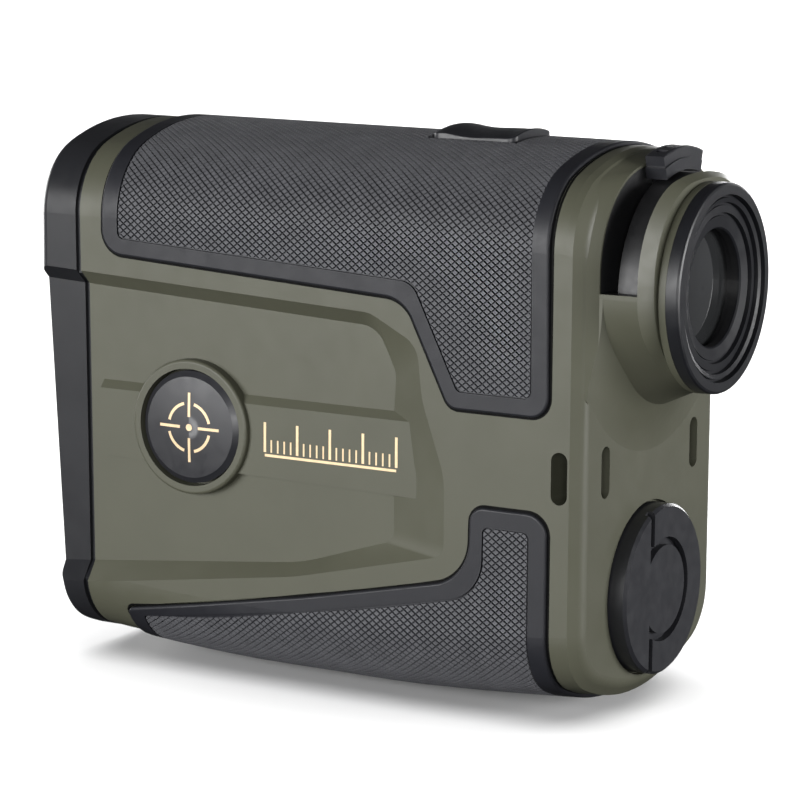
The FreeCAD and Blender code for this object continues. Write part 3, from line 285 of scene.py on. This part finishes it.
def rounded(corners, step=0.35):
    """Closed outline from (y, z, radius) corners, with each corner turned in short steps."""
    points = []
    count = len(corners)
    for i, (y, z, radius) in enumerate(corners):
        here = np.array([y, z], float)
        if radius == 0:
            points.append(here)
            continue
        before = np.array(corners[i - 1][:2], float) - here
        after = np.array(corners[(i + 1) % count][:2], float) - here
        before /= np.linalg.norm(before)
        after /= np.linalg.norm(after)
        half = math.acos(np.clip(before @ after, -1, 1)) / 2
        reach = radius / math.tan(half)
        centre = here + (before + after) / np.linalg.norm(before + after) * radius / math.sin(half)
        start = here + before * reach - centre
        end = here + after * reach - centre
        a0 = math.atan2(start[1], start[0])
        turn = (math.atan2(end[1], end[0]) - a0 + math.pi) % (2 * math.pi) - math.pi
        parts = max(2, int(abs(turn) * radius / step) + 1)
        for k in range(parts + 1):
            angle = a0 + turn * k / parts
            points.append(centre + radius * np.array([math.cos(angle), math.sin(angle)]))
    return points


def densely(points, step=1.5):
    """The same closed outline with long sides divided."""
    made = []
    for p, q in zip(points, points[1:] + points[:1]):
        parts = max(1, int(np.linalg.norm(q - p) / step))
        made += [p + (q - p) * k / parts for k in range(parts)]
    return np.array(made)


def boundary_lines(outline, keep_inside):
    """Start points, directions and kept-side normals of an outline's segments."""
    ahead = np.roll(outline, -1, axis=0) - outline
    ahead /= np.linalg.norm(ahead, axis=1)[:, None]
    area = np.sum(outline[:, 0] * np.roll(outline[:, 1], -1) - np.roll(outline[:, 0], -1) * outline[:, 1])
    normal = np.stack([-ahead[:, 1], ahead[:, 0]], axis=1) * math.copysign(1, area)
    return outline, ahead, normal if keep_inside else -normal


def nearest_line(points, lines):
    """For each point, the nearest boundary segment and the gap to it, negative on the cut-away side."""
    start, ahead, normal = lines
    length = np.linalg.norm(np.roll(start, -1, axis=0) - start, axis=1)
    best = np.full(len(points), 1e9)
    index = np.zeros(len(points), int)
    signed = np.zeros(len(points))
    for i in range(len(start)):
        offset = points - start[i]
        along = np.clip(offset @ ahead[i], 0, length[i])
        gap = np.linalg.norm(offset - along[:, None] * ahead[i], axis=1)
        closer = gap < best
        best[closer] = gap[closer]
        index[closer] = i
        signed[closer] = np.copysign(gap, offset @ normal[i])[closer]
    return index, signed


def clipped(polygon, start, normal, margin):
    """Convex polygon cut back to the kept side of a line."""
    kept = []
    heights = [float((p - start) @ normal) - margin for p in polygon]
    for p, q, hp, hq in zip(polygon, polygon[1:] + polygon[:1], heights, heights[1:] + heights[:1]):
        if hp >= 0:
            kept.append(p)
        if hp * hq < 0:
            kept.append(p + (q - p) * hp / (hp - hq))
    return kept


DIAMOND_LONG = 1.22         # diamond lattice: along the housing, and round it
DIAMOND_ROUND = 0.96
BORDER_GROOVE = 0.16


def area_of(polygon):
    return abs(sum(p[0] * q[1] - q[0] * p[1] for p, q in zip(polygon, polygon[1:] + polygon[:1]))) / 2


def diamonds(outlines, low, high):
    """Diamond polygons that fill the first outline and keep out of the others."""
    lines = [boundary_lines(outline, i == 0) for i, outline in enumerate(outlines)]
    centres = []
    rows = int((high[1] - low[1]) / DIAMOND_ROUND) + 2
    columns = int((high[0] - low[0]) / DIAMOND_LONG) + 2
    for shift in (0.0, 0.5):
        for j in range(-1, rows):
            for i in range(-1, columns):
                centres.append((low[0] + (i + shift) * DIAMOND_LONG, low[1] + (j + shift) * DIAMOND_ROUND))
    centres = np.array(centres)
    corners = np.array([(DIAMOND_LONG / 2, 0), (0, DIAMOND_ROUND / 2), (-DIAMOND_LONG / 2, 0), (0, -DIAMOND_ROUND / 2)])
    full = DIAMOND_LONG * DIAMOND_ROUND / 2
    found = [nearest_line(centres, line) for line in lines]
    wide = np.ones(len(centres), bool)
    for index, signed in found:
        wide &= signed > -DIAMOND_LONG / 2
    made = []
    for n in np.nonzero(wide)[0]:
        polygon = [centres[n] + c for c in corners]
        for line, (index, signed) in zip(lines, found):
            if signed[n] < DIAMOND_LONG:
                near = index[n:n + 1]           # outside a hole's corner, one of its lines is enough
                if line is lines[0]:
                    near, _ = nearest_line(np.array([centres[n]] + polygon), line)
                for k in sorted(set(near.tolist())):
                    if len(polygon) > 2:
                        polygon = clipped(polygon, line[0][k], line[2][k], BORDER_GROOVE)
        if len(polygon) > 2 and area_of(polygon) > 0.15 * full:
            made.append(polygon)
    return made


TIERS = [(-FIELD_DEPTH - 0.04, 0.86), (-0.05, 0.77), (0.0, 0.70)]     # depth below the border, and size


def knurl_mesh(name, polygons, to_skin, mirror=False):
    """Flat-topped pyramids on the polygons; to_skin maps (y, girth, level) to space."""
    flat = []
    levels = []
    faces = []
    for polygon in polygons:
        centre = sum(polygon) / len(polygon)
        base = len(flat)
        count = len(polygon)
        for depth, size in TIERS:
            for p in polygon:
                flat.append(centre + (p - centre) * size)
                levels.append(PAD_PROUD + depth)
        for tier in range(len(TIERS) - 1):
            for k in range(count):
                a = base + tier * count + k
                b = base + tier * count + (k + 1) % count
                faces.append((a, b, b + count, a + count))
        faces.append(tuple(base + (len(TIERS) - 1) * count + k for k in range(count)))
    flat = np.array(flat)
    x, y, z = to_skin(flat[:, 0], flat[:, 1], np.array(levels))
    if mirror:
        x = -x
        faces = [tuple(reversed(face)) for face in faces]
    return mesh_piece(name, np.stack([x, y - SHIFT, z], axis=1), faces, knurl.data, "housing")


def upper_skin(y, girth, level):
    x, z = TOP_ARC.point(SHELL_TOP, np.abs(girth), level)
    return x * np.sign(girth), y, z


def lower_skin(y, girth, level):
    x, z = BELLY_ARC.point(SHELL_BOTTOM + belly_rise(y), np.abs(girth), level)
    return x * np.sign(girth), y, z


UPPER_FIELD = [(71.1, 80, 0), (70.9, 61.3, 1.0), (23.3, 58.8, 3.0), (16.3, 44.75, 1.0), (5.1, 44.75, 1.0), (5.6, 80, 0)]
LOWER_FIELD = [(67.3, -6, 0), (67.6, 7.6, 0.6), (40.3, 12.0, 60), (12.3, 17.6, 6), (12.2, 27.1, 1.0), (5.2, 27.1, 1.0),
               (5.2, -6, 0)]
FIELD_FRONT, FIELD_REAR = 67.3, 5.2     # ends of the lower field beside the runner
KEY_SKIRT = 0.9             # the key's hidden foot reaches this far past its visible edge
KEY_CLEARANCE = 0.25
KEY_GAP = 0.1


def upper_knurl():
    """One field over the crown; its outline is the side view's outline, unrolled on both sides."""
    side = [p for p in rounded(UPPER_FIELD) if p[1] < SHELL_TOP]
    down = [np.array([p[0], float(TOP_ARC.girth_at(SHELL_TOP, p[1]))]) for p in side]
    mirrored = [np.array([p[0], -p[1]]) for p in reversed(down)]
    outline = densely(down + mirrored)
    low, high = corner("power_button")
    reach = high[0] - KEY_SKIRT + KEY_GAP
    rear = low[1] + KEY_SKIRT - KEY_CLEARANCE - KEY_GAP + SHIFT
    front = high[1] - KEY_SKIRT + KEY_CLEARANCE + KEY_GAP + SHIFT
    hole = densely([np.array(p) for p in ((rear, -reach), (front, -reach), (front, reach), (rear, reach))])
    polygons = diamonds([outline, hole], outline.min(axis=0), outline.max(axis=0))
    return knurl_mesh("upper_knurl", polygons, upper_skin)


def lower_knurl():
    """Two fields, one each side of the smooth runner under the body."""
    side = [p for p in rounded(LOWER_FIELD) if p[1] > 0]
    edge = [np.array([p[0], float(BELLY_ARC.girth_at(SHELL_BOTTOM + belly_rise(p[0]), p[1]))]) for p in side]
    runner = (CROWN_R + PAD_PROUD) * math.asin(RUNNER_HALF / (CROWN_R + PAD_PROUD))
    outline = densely([np.array([FIELD_FRONT, runner])] + edge + [np.array([FIELD_REAR, runner])])
    polygons = diamonds([outline], outline.min(axis=0), outline.max(axis=0))
    knurl_mesh("lower_knurl_right", polygons, lower_skin)
    knurl_mesh("lower_knurl_left", polygons, lower_skin, mirror=True)


upper_knurl()
lower_knurl()


# ---- painted shadow lines round the pads --------------------------------------------------------
# Each pad sits in a seat a little wider than itself; a near-black strip over the gap and the shell's edge beside it is
# painted shadow for the shade in the gap.
UPPER_PAD = [(73.8, 80, 0), (73.6, 59.1, 3.5), (24.6, 56.4, 5), (17.6, 42.35, 2.2), (2.6, 42.35, 2.7), (3.2, 80, 0)]
LOWER_PAD = [(69.8, -6, 0), (70.4, 8.5, 1.2), (40.3, 14.0, 60), (14.4, 19.6, 6.5), (14.2, 29.6, 2.2), (2.6, 29.6, 3),
             (2.6, -6, 0)]
LINE_WIDTH = 0.34
LINE_INNER = 0.02
LINE_PROUD = 0.03
LINE_FOOT = -0.1
LINE_STEP = 0.6


def pad_gap_shadow(name, outline, to_skin):
    """Thin near-black strip of painted shadow that follows a pad's outline on the shell, with its rims turned down into
    the skin.
    """
    ahead = np.roll(outline, -1, axis=0) - np.roll(outline, 1, axis=0)
    ahead /= np.linalg.norm(ahead, axis=1)[:, None]
    area = np.sum(outline[:, 0] * np.roll(outline[:, 1], -1) - np.roll(outline[:, 0], -1) * outline[:, 1])
    outward = np.stack([ahead[:, 1], -ahead[:, 0]], axis=1) * math.copysign(1, area)
    rows = []
    profile = ((LINE_INNER, LINE_FOOT), (LINE_INNER, LINE_PROUD), (LINE_WIDTH, LINE_PROUD), (LINE_WIDTH, LINE_FOOT))
    for reach, level in profile:
        points = outline + outward * reach
        x, y, z = to_skin(points[:, 0], points[:, 1], np.full(len(points), level))
        rows.append(np.stack([x, y - SHIFT, z], axis=1))
    count = len(outline)
    faces = []
    for row in range(len(rows) - 1):
        for k in range(count):
            a = row * count + k
            b = row * count + (k + 1) % count
            faces.append((a, b, b + count, a + count))
    mesh_piece(name, np.concatenate(rows), faces, gap_shadow_paint.data, "housing")


def wrapped(corners, arc, peak):
    """A pad's side outline carried round the section and mirrored on the other side."""
    side = [p for p in rounded(corners) if 0 < p[1] < SHELL_TOP]
    down = [np.array([p[0], float(arc.girth_at(peak(p[0]), p[1]))]) for p in side]
    mirrored = [np.array([p[0], -p[1]]) for p in reversed(down)]
    return densely(down + mirrored, LINE_STEP)


pad_gap_shadow("upper_pad_gap_shadow", wrapped(UPPER_PAD, TOP_ARC, lambda y: SHELL_TOP), upper_skin)
pad_gap_shadow("lower_pad_gap_shadow", wrapped(LOWER_PAD, BELLY_ARC, lambda y: SHELL_BOTTOM + belly_rise(y)), lower_skin)


# ---- printed marks ------------------------------------------------------------------------------
INK = 0.02


def ink_strip(outline, place):
    """Thin printed shape: the flat outline mapped by place(point, height), with its rim down to the surface."""
    count = len(outline)
    top = [place(p, INK) for p in outline]
    foot = [place(p, -INK) for p in outline]
    faces = [tuple(range(count))]
    faces += [(k, k + count, (k + 1) % count + count, (k + 1) % count) for k in range(count)]
    return top + foot, faces


def joined(strips):
    vertices = []
    faces = []
    for points, polygons in strips:
        base = len(vertices)
        vertices += points
        faces += [tuple(base + k for k in polygon) for polygon in polygons]
    return vertices, faces


def bar(u0, u1, v0, v1):
    return [(u0, v0), (u1, v0), (u1, v1), (u0, v1)]


def arc_strip(radius, width, start, end, parts=14):
    angles = [math.radians(start + (end - start) * k / parts) for k in range(parts + 1)]
    outer = [((radius + width / 2) * math.cos(a), (radius + width / 2) * math.sin(a)) for a in angles]
    inner = [((radius - width / 2) * math.cos(a), (radius - width / 2) * math.sin(a)) for a in reversed(angles)]
    return outer + inner


DOME_R = 101.0              # the mode button's face is slightly domed
RING_R, RING_WIDTH = 3.4, 0.42
ARC_START, ARC_END = 14, 76     # degrees of each quarter that the ring fills
TICK_INNER, TICK_OUTER, TICK_HALF = 1.5, 4.9, 0.2
DOT_R, DOT_STEP = 0.5, 24


def reticle_mark():
    """Plain aiming reticle on the mode button: a broken ring, four ticks and a dot."""
    low, high = corner("mode_button")
    centre = (low + high) / 2
    face = low[0]

    def place(p, height):
        sag = (p[0] ** 2 + p[1] ** 2) / (2 * DOME_R)
        return (face + sag - height, centre[1] + p[0], centre[2] + p[1])

    strips = []
    for quarter in range(4):
        arc = arc_strip(RING_R, RING_WIDTH, 90 * quarter + ARC_START, 90 * quarter + ARC_END)
        strips.append(ink_strip(arc, place))
    for side, along in ((1, True), (-1, True), (1, False), (-1, False)):
        a, b = sorted((side * TICK_INNER, side * TICK_OUTER))
        outline = bar(a, b, -TICK_HALF, TICK_HALF) if along else bar(-TICK_HALF, TICK_HALF, a, b)
        strips.append(ink_strip(outline, place))
    turns = [math.radians(a) for a in range(0, 360, DOT_STEP)]
    dot = [(DOT_R * math.cos(a), DOT_R * math.sin(a)) for a in turns]
    strips.append(ink_strip(dot, place))
    vertices, faces = joined(strips)
    mesh_piece("reticle_mark", vertices, faces, gold.data, "mode_button")


BAND_X = 19.3
SCALE_REAR, SCALE_FRONT = 26.4, 47.4
SCALE_LOW, SCALE_HIGH = 33.0, 37.4
TICKS = 21
LONG_EVERY = 5
SHORT_TICK = 2.0
BASE_WIDTH = 0.36
BASE_GAP = 0.25
LONG_HALF, SHORT_HALF = 0.2, 0.12


def band_scale():
    """Plain distance scale on the band: a base line with short ticks and a longer one at every fifth."""
    def place(p, height):
        return (-BAND_X - height, p[0] - SHIFT, p[1])

    strips = [ink_strip(bar(SCALE_REAR, SCALE_FRONT, SCALE_LOW - BASE_WIDTH, SCALE_LOW), place)]
    pitch = (SCALE_FRONT - SCALE_REAR) / (TICKS - 1)
    for i in range(TICKS):
        y = SCALE_REAR + i * pitch
        is_long = i % LONG_EVERY == 0
        top = SCALE_HIGH if is_long else SCALE_LOW + SHORT_TICK
        half = LONG_HALF if is_long else SHORT_HALF
        strips.append(ink_strip(bar(y - half, y + half, SCALE_LOW + BASE_GAP, top), place))
    vertices, faces = joined(strips)
    mesh_piece("band_scale", vertices, faces, gold.data, "housing")


reticle_mark()
band_scale()


# ---- stage, in metres ---------------------------------------------------------------------------
FLOOR_SIZE = 30.0


def plane(name, size, material):
    half = size / 2
    mesh = bpy.data.meshes.new(name)
    mesh.from_pydata([(-half, -half, 0), (half, -half, 0), (half, half, 0), (-half, half, 0)], [], [(0, 1, 2, 3)])
    mesh.materials.append(material)
    made = bpy.data.objects.new(name, mesh)
    bpy.context.scene.collection.objects.link(made)
    return made


floor_paint = Material("studio_floor", (0.86, 0.86, 0.86), 0.7).mottle(400.0, 0.01)
floor = plane("floor", FLOOR_SIZE, floor_paint.data)
floor.visible_diffuse = False
floor.visible_glossy = False


def softbox(name, place, target, size, power):
    light = bpy.data.lights.new(name, "AREA")
    light.shape = "RECTANGLE"
    light.size, light.size_y = size
    light.energy = power
    made = bpy.data.objects.new(name, light)
    bpy.context.scene.collection.objects.link(made)
    made.location = place
    made.rotation_euler = (Vector(target) - Vector(place)).to_track_quat("-Z", "Y").to_euler()
    return made


WASH_STRENGTH = 4.2
WASH_SPREAD = math.radians(100)


def floor_wash():
    """Even, very soft light that falls on the floor alone and keeps it pale."""
    light = bpy.data.lights.new("floor_wash", "SUN")
    light.energy = WASH_STRENGTH
    light.angle = WASH_SPREAD
    made = bpy.data.objects.new("floor_wash", light)
    bpy.context.scene.collection.objects.link(made)
    receivers = bpy.data.collections.new("floor_only")
    receivers.objects.link(floor)
    made.light_linking.receiver_collection = receivers


floor_wash()


def belt_of_light(tree):
    """The room is bright round the horizon and dim overhead and below."""
    direction = tree.nodes.new("ShaderNodeTexCoord").outputs["Generated"]
    split = tree.nodes.new("ShaderNodeSeparateXYZ")
    steep = tree.nodes.new("ShaderNodeMath")
    steep.operation = "ABSOLUTE"
    fade = tree.nodes.new("ShaderNodeMapRange")
    for name, value in (("From Min", 0.1), ("From Max", 0.5), ("To Min", 0.21), ("To Max", 0.02)):
        fade.inputs[name].default_value = value
    tree.links.new(direction, split.inputs["Vector"])
    tree.links.new(split.outputs["Z"], steep.inputs[0])
    tree.links.new(steep.outputs[0], fade.inputs["Value"])
    tree.links.new(fade.outputs["Result"], tree.nodes["Background"].inputs["Strength"])


AIM = (0, 0, 0.04)
softbox("left_key", (-0.83, 0.34, 0.17), AIM, (0.6, 0.4), 8.8)
softbox("left_fill", (-0.80, -0.42, 0.12), AIM, (0.4, 0.3), 3.8)
softbox("right_fill", (0.88, 0.12, 0.08), AIM, (0.5, 0.3), 5.0)
softbox("front_fill", (0.16, 0.94, 0.10), AIM, (0.5, 0.3), 6.0)
softbox("rear_fill", (0.26, -0.90, 0.13), AIM, (0.5, 0.3), 9.5)

world = bpy.data.worlds.new("studio")
world.use_nodes = True
world.node_tree.nodes["Background"].inputs["Color"].default_value = (0.95, 0.96, 1.0, 1)
belt_of_light(world.node_tree)
bpy.context.scene.world = world
bpy.context.scene.view_settings.view_transform = "Standard"


# ---- camera -------------------------------------------------------------------------------------
def camera(place, azimuth, elevation, roll, lens):
    """Azimuth 0 looks along +Y with +X to the right; elevation looks down by that angle."""
    a, e, r = (math.radians(v) for v in (azimuth, elevation, roll))
    back = Vector((math.sin(a) * math.cos(e), -math.cos(a) * math.cos(e), math.sin(e)))
    level = Vector((math.cos(a), math.sin(a), 0))
    upright = back.cross(level)
    right = level * math.cos(r) + upright * math.sin(r)
    up = back.cross(right)
    data = bpy.data.cameras.new("camera")
    data.sensor_width = 36.0
    data.lens = lens
    data.clip_start = 0.01
    made = bpy.data.objects.new("camera", data)
    bpy.context.scene.collection.objects.link(made)
    made.matrix_world = Matrix.Translation(place) @ Matrix((right, up, back)).transposed().to_4x4()
    bpy.context.scene.camera = made


CAMERA_PLACE = (-0.39993, -0.23572, 0.11977)
CAMERA_AZIMUTH, CAMERA_ELEVATION, CAMERA_ROLL = -59.35, 9.90, 0.42
CAMERA_LENS = 151.13

camera(CAMERA_PLACE, CAMERA_AZIMUTH, CAMERA_ELEVATION, CAMERA_ROLL, CAMERA_LENS)
